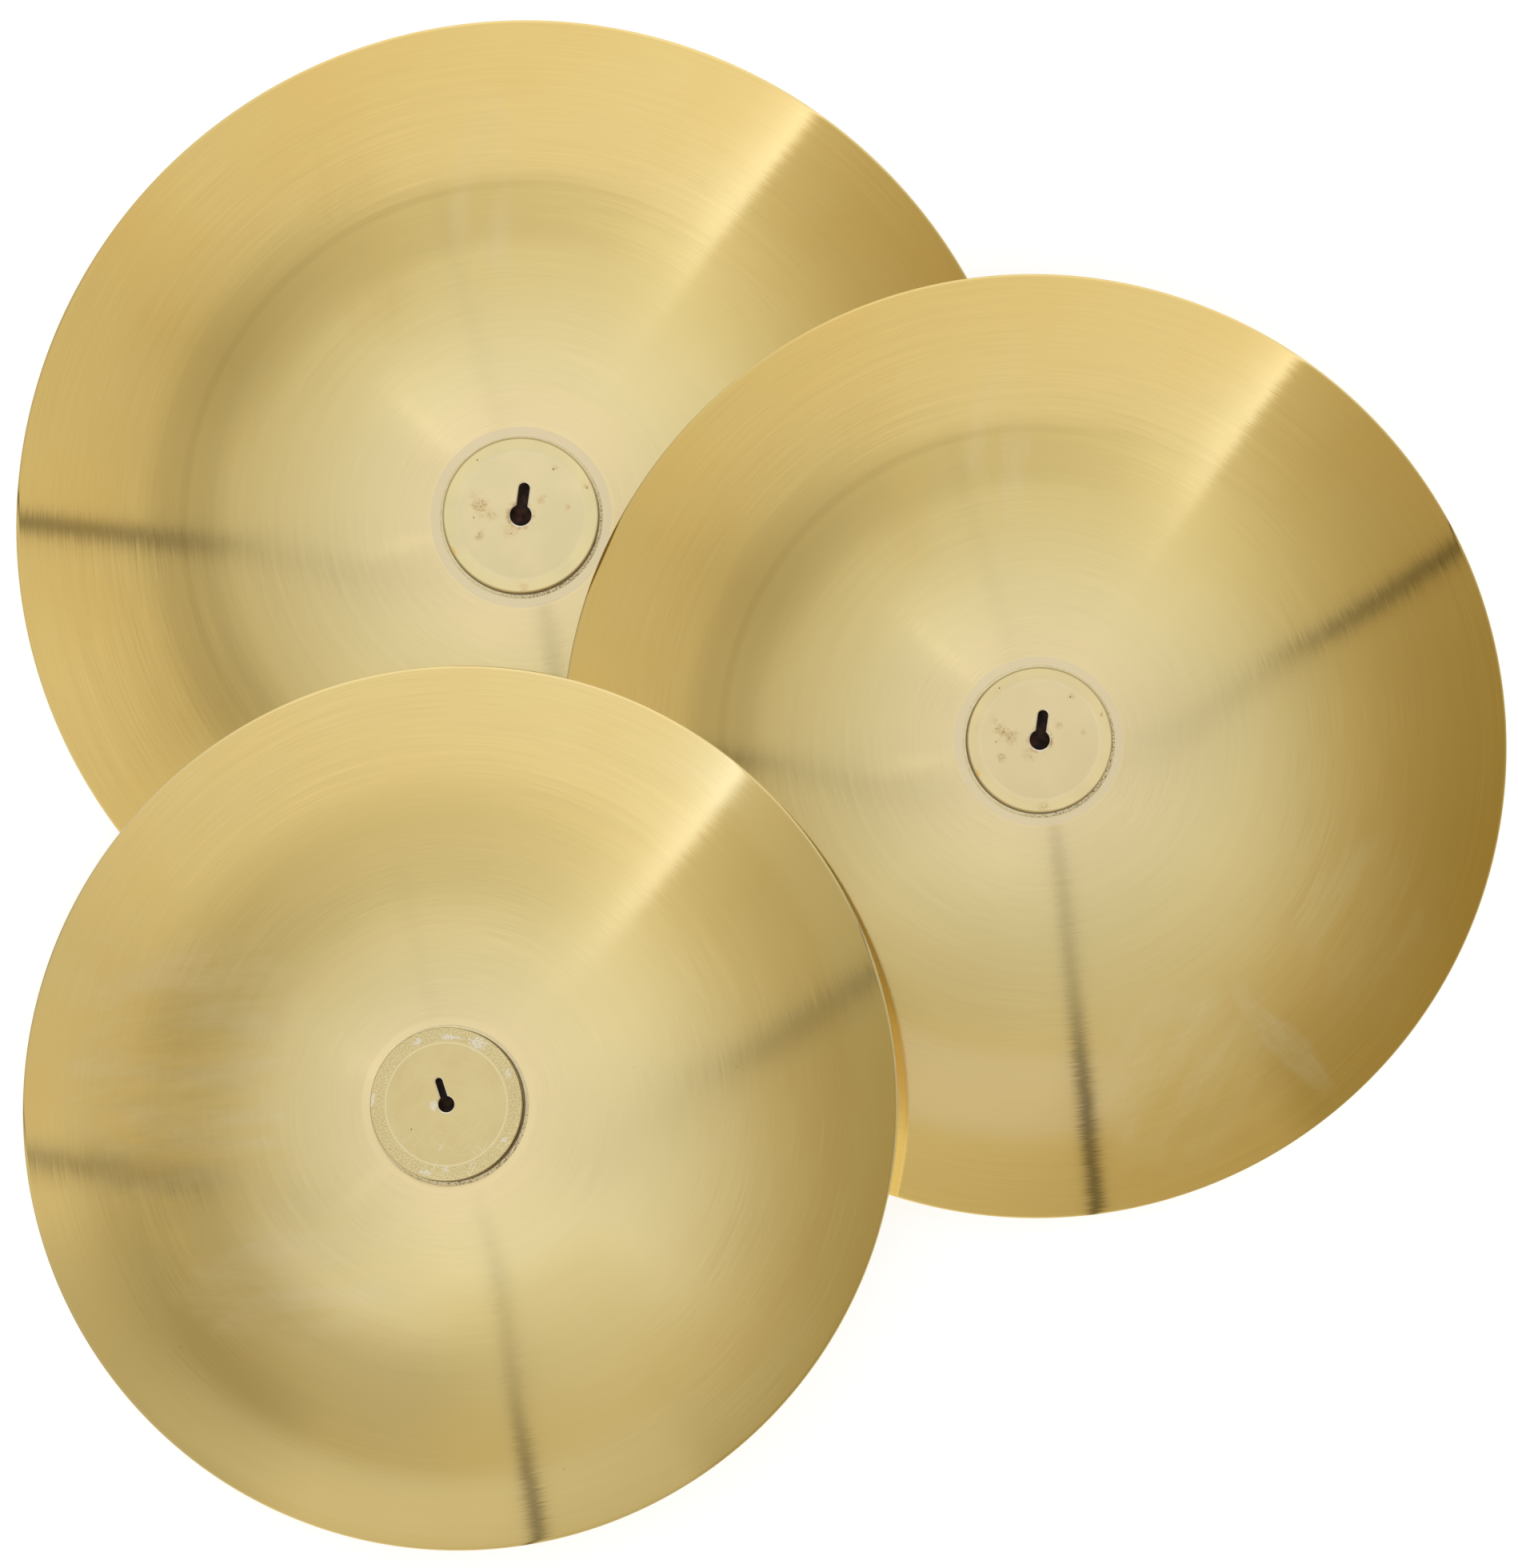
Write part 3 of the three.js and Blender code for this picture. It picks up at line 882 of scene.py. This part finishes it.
def add_spacer(dish):
    outer = dish.plate_radius - SPACER_INSET
    inner = outer - SPACER_WALL
    foot, top = dish.spacer_foot, dish.spacer_top
    profile = [
        (inner, foot),
        (outer, foot),
        (outer, top - SPACER_CHAMFER),
        (outer - SPACER_CHAMFER, top),
        (inner + SPACER_CHAMFER, top),
        (inner, top - SPACER_CHAMFER),
    ]
    mesh = lathe_mesh(f"{dish.name}_spacer", profile, PLATE_SIDES, closed=True)
    smooth(mesh, 20)
    dish.add("spacer_ring", mesh, spacer_material(dish), "spacer")


def add_bead(dish):
    foot = dish.plate_radius - SPACER_INSET + FIT_GAP
    base = dish.spacer_foot
    profile = [(foot, base)]
    for step in range(BEAD_STEPS + 1):
        angle = step / BEAD_STEPS * math.pi / 2
        distance = foot + BEAD_WIDTH * (1 - math.sin(angle))
        profile.append((distance, base + BEAD_HEIGHT * (1 - math.cos(angle))))
    mesh = lathe_mesh(f"{dish.name}_bead", profile, PLATE_SIDES, closed=True)
    smooth(mesh, 50)
    dish.add("brazed_bead", mesh, braze_material(dish), "braze")


# ---------------------------------------------------------------- staging

def camera_side():
    """The direction from the model to the camera."""
    return Vector((
        math.sin(CAMERA_LEAN) * math.cos(CAMERA_SIDE),
        math.sin(CAMERA_LEAN) * math.sin(CAMERA_SIDE),
        math.cos(CAMERA_LEAN),
    ))


def add_camera():
    data = bpy.data.cameras.new("camera")
    camera = bpy.data.objects.new("camera", data)
    bpy.context.scene.collection.objects.link(camera)
    back = camera_side()
    right = Vector((0, 1, 0)).cross(back).normalized()
    up = back.cross(right)
    turn = Matrix((right, up, back)).transposed()
    place = Vector(CAMERA_TARGET) + back * CAMERA_DISTANCE
    camera.matrix_world = Matrix.Translation(place) @ turn.to_4x4()
    data.sensor_width = SENSOR
    data.lens = SENSOR * CAMERA_DISTANCE / VIEW_HEIGHT
    data.clip_start = 0.1
    data.clip_end = 100.0
    bpy.context.scene.camera = camera


def add_floor():
    mesh = bpy.data.meshes.new("floor")
    corners = [(x * FLOOR_HALF, y * FLOOR_HALF, 0) for x, y in ((-1, -1), (1, -1), (1, 1), (-1, 1))]
    mesh.from_pydata(corners, [], [(0, 1, 2, 3)])
    floor = bpy.data.objects.new("floor", mesh)
    bpy.context.scene.collection.objects.link(floor)
    material, tree, shader = new_material("pale_floor")
    shader.inputs["Base Color"].default_value = FLOOR_GREY
    shader.inputs["Roughness"].default_value = 1.0
    shader.inputs["Specular IOR Level"].default_value = 0.0
    shader.inputs["Emission Color"].default_value = (1, 1, 1, 1)
    shader.inputs["Emission Strength"].default_value = FLOOR_GLOW
    mesh.materials.append(material)


def add_tent():
    """A white light tent, drawn on the world: bright overhead, walls whose light differs from side
    to side, and thin dark seams where the walls meet."""
    world = bpy.data.worlds.new("light_tent")
    bpy.context.scene.world = world
    world.use_nodes = True
    tree = world.node_tree
    tree.nodes.clear()
    direction = node(tree, "ShaderNodeTexCoord").outputs["Generated"]
    zenith, azimuth = sky_angles(tree, direction)
    # The lit panels are centred on what a level dish shows the camera in its middle.
    mirror = Vector((-camera_side().x, -camera_side().y, camera_side().z))
    centred = turned(tree, direction, mirror.rotation_difference(Vector((0, 0, 1))))
    off_centre, side = sky_angles(tree, centred)

    lit = panel_light(tree, off_centre, side)
    walls = scaled(tree, SURROUND_TINT, wall_level(tree, azimuth, SURROUND))
    walls = scaled(tree, walls, spread(tree, zenith, 60.0, 92.0, 1.0, 0.55))
    lit = mix(tree, smooth_step(tree, zenith, 44.0, 62.0), lit, walls)
    lit = with_streak(tree, lit, off_centre, side)
    lit = with_lamps(tree, lit, centred)
    lit = with_seams(tree, lit, zenith, azimuth, off_centre)
    background = node(tree, "ShaderNodeBackground", {"Color": lit, "Strength": TENT_STRENGTH})
    plain = node(tree, "ShaderNodeBackground", {"Color": (1, 1, 1, 1)})
    # The backdrop is plain white, and so is the light that falls on matt surfaces.
    path = node(tree, "ShaderNodeLightPath")
    matt = calc(tree, "MAXIMUM", path.outputs["Is Camera Ray"], path.outputs["Is Diffuse Ray"])
    both = node(tree, "ShaderNodeMixShader", {0: matt, 1: background.outputs[0], 2: plain.outputs[0]})
    output = node(tree, "ShaderNodeOutputWorld")
    tree.links.new(both.outputs[0], output.inputs["Surface"])


def panel_light(tree, off_centre, side):
    """The tent's roof and upper walls: a level for each ring and side, tinted by how bright it is."""
    level = wall_level(tree, side, TENT_RINGS[0][1])
    for (inner, _), (outer, stops) in zip(TENT_RINGS, TENT_RINGS[1:]):
        rise = spread(tree, off_centre, inner, outer, 0.0, 1.0)
        level = mix(tree, rise, level, wall_level(tree, side, stops))
    warm = ramp(tree, level, OUTER_TINT)
    pale = ramp(tree, level, INNER_TINT)
    return mix(tree, smooth_step(tree, off_centre, 15.0, 26.0), pale, warm)


def with_streak(tree, lit, off_centre, side):
    """Adds a wall's bright edge: sharp on one side, and fading out over 7 degrees on the other."""
    edge = STREAK_SIDE / 360
    before = edge - 0.003
    streak = band(tree, side, edge, edge + 0.0005, 0.003)
    tail = times(tree, smooth_step(tree, side, (STREAK_SIDE + 7) / 360, edge),
                 smooth_step(tree, side, before, edge))
    outside = smooth_step(tree, off_centre, 17.0, 26.0)
    glow = times(tree, calc(tree, "ADD", streak, tail), outside, STREAK_GLOW)
    return mix(tree, 1.0, lit, scaled(tree, STREAK_TINT, glow), "ADD")


def with_lamps(tree, lit, centred):
    for degrees, lean, strength in LAMPS:
        inputs = {0: centred, 1: lamp_direction(degrees, lean)}
        towards = node(tree, "ShaderNodeVectorMath", inputs, operation="DOT_PRODUCT").outputs["Value"]
        spot = times(tree, smooth_step(tree, towards, math.cos(LAMP_SIZE), 1.0), strength)
        lit = mix(tree, 1.0, lit, vector_of(tree, spot, spot, spot), "ADD")
    return lit


def with_seams(tree, lit, zenith, azimuth, off_centre):
    """Darkens the seams, which fade out towards the tent's middle."""
    deeper = spread(tree, smooth_step(tree, off_centre, 18.0, 25.0), 0.0, 1.0, SEAM_INNER_DEPTH, 1.0)
    fade = times(tree, smooth_step(tree, off_centre, 2.0, 9.0), deeper)
    narrow = calc(tree, "SINE", calc(tree, "MULTIPLY", zenith, math.pi / 180))
    for side, depth, end in SEAMS:
        gap = calc(tree, "WRAP", calc(tree, "SUBTRACT", azimuth, side / 360), 0.5, -0.5)
        across = times(tree, calc(tree, "ABSOLUTE", gap), narrow, 360)
        reached = smooth_step(tree, off_centre, end + 6, end)
        dark = times(tree, smooth_step(tree, across, SEAM_WIDTH, 0.0), fade, depth, reached)
        lit = mix(tree, dark, lit, SEAM_TINT)
    return lit


def lamp_direction(degrees, lean):
    side, lean = math.radians(degrees), math.radians(lean)
    return Vector((math.sin(lean) * math.cos(side), math.sin(lean) * math.sin(side), math.cos(lean)))


def sky_angles(tree, direction):
    """(angle from straight up in degrees, share of a turn anticlockwise from +X) of a direction."""
    split = node(tree, "ShaderNodeSeparateXYZ", {"Vector": direction})
    x, y, z = (split.outputs[axis] for axis in "XYZ")
    zenith = calc(tree, "MULTIPLY", calc(tree, "ARCCOSINE", z), 180 / math.pi)
    turn = calc(tree, "DIVIDE", calc(tree, "ARCTAN2", y, x), 2 * math.pi)
    return zenith, calc(tree, "FRACT", calc(tree, "ADD", turn, 1.0))


def wall_level(tree, side, stops):
    """How bright the tent is on each side. stops is a list of (degrees, level)."""
    return ramp(tree, side, [(place / 360, (level, level, level)) for place, level in stops])


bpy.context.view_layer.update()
dishes = [Dish(name, frame["record"]) for name in DISHES]
for dish in dishes:
    add_shell(dish)
    add_plate(dish)
    add_spacer(dish)
    add_bead(dish)
add_camera()
add_floor()
add_tent()
bpy.context.scene.view_settings.view_transform = "Standard"
